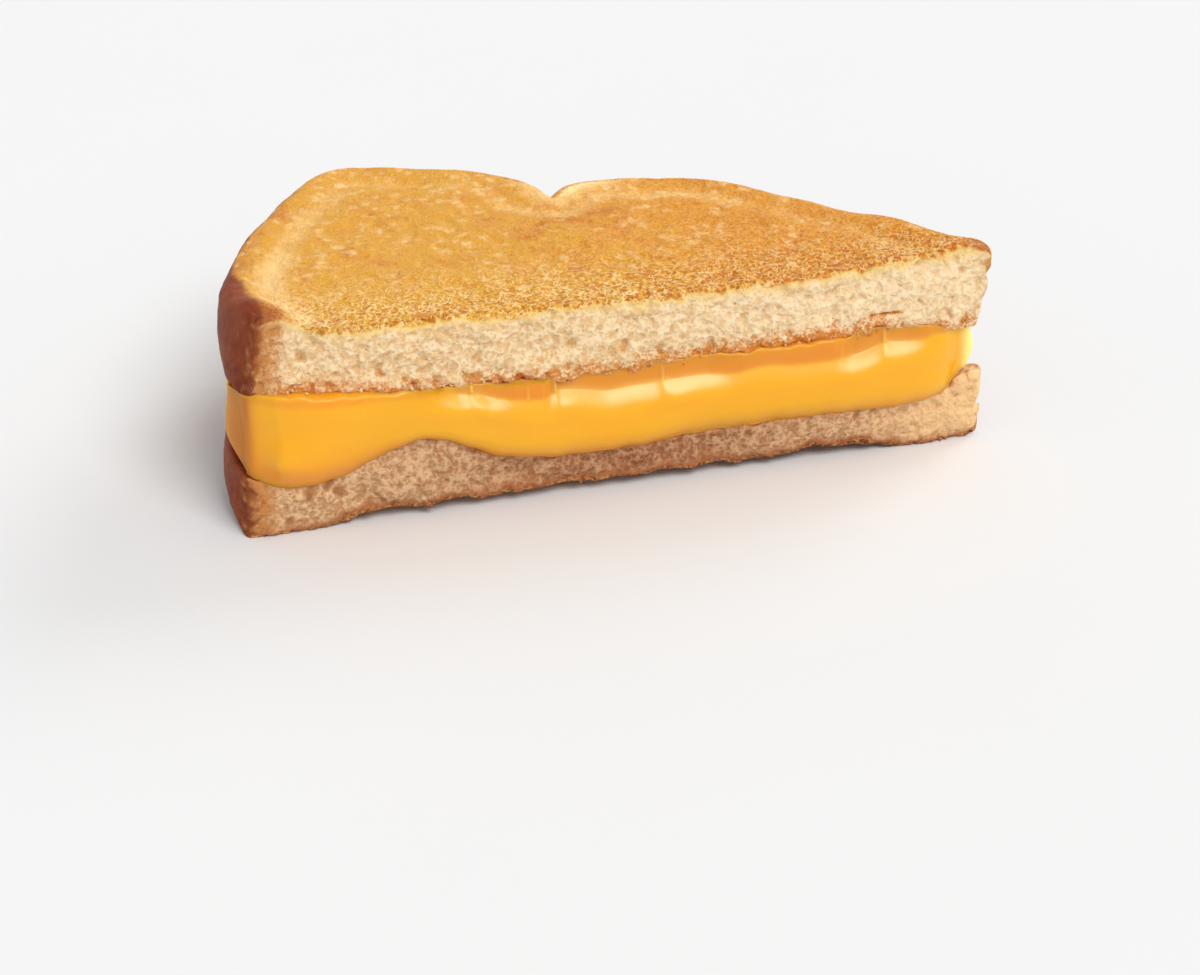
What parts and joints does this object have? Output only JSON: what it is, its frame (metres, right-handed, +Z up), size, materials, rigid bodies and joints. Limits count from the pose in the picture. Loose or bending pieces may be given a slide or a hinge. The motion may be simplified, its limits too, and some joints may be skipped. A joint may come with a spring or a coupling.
{
  "type": "grilled cheese sandwich",
  "caption": "Half of a grilled cheese sandwich cut corner to corner, with a thick layer of melted cheese bulging from the cut between fried bread slices.",
  "frame": {"origin": "on the surface it rests on, under the middle of its bounding box", "axes": "+X along the cut towards the sharp corner, -Y out of the cut face, +Z up"},
  "size_m": [0.1374, 0.0732, 0.0393],
  "materials": {
    "upper_bread": "golden fried bread, granular and matt",
    "cheese": "melted cheese, soft gloss",
    "lower_bread": "bread crumb with a browned underside, matt"
  },
  "bodies": {
    "root": {"upper_slice": "upper_bread", "cheese": "cheese", "lower_slice": "lower_bread"}
  },
  "joints": []
}
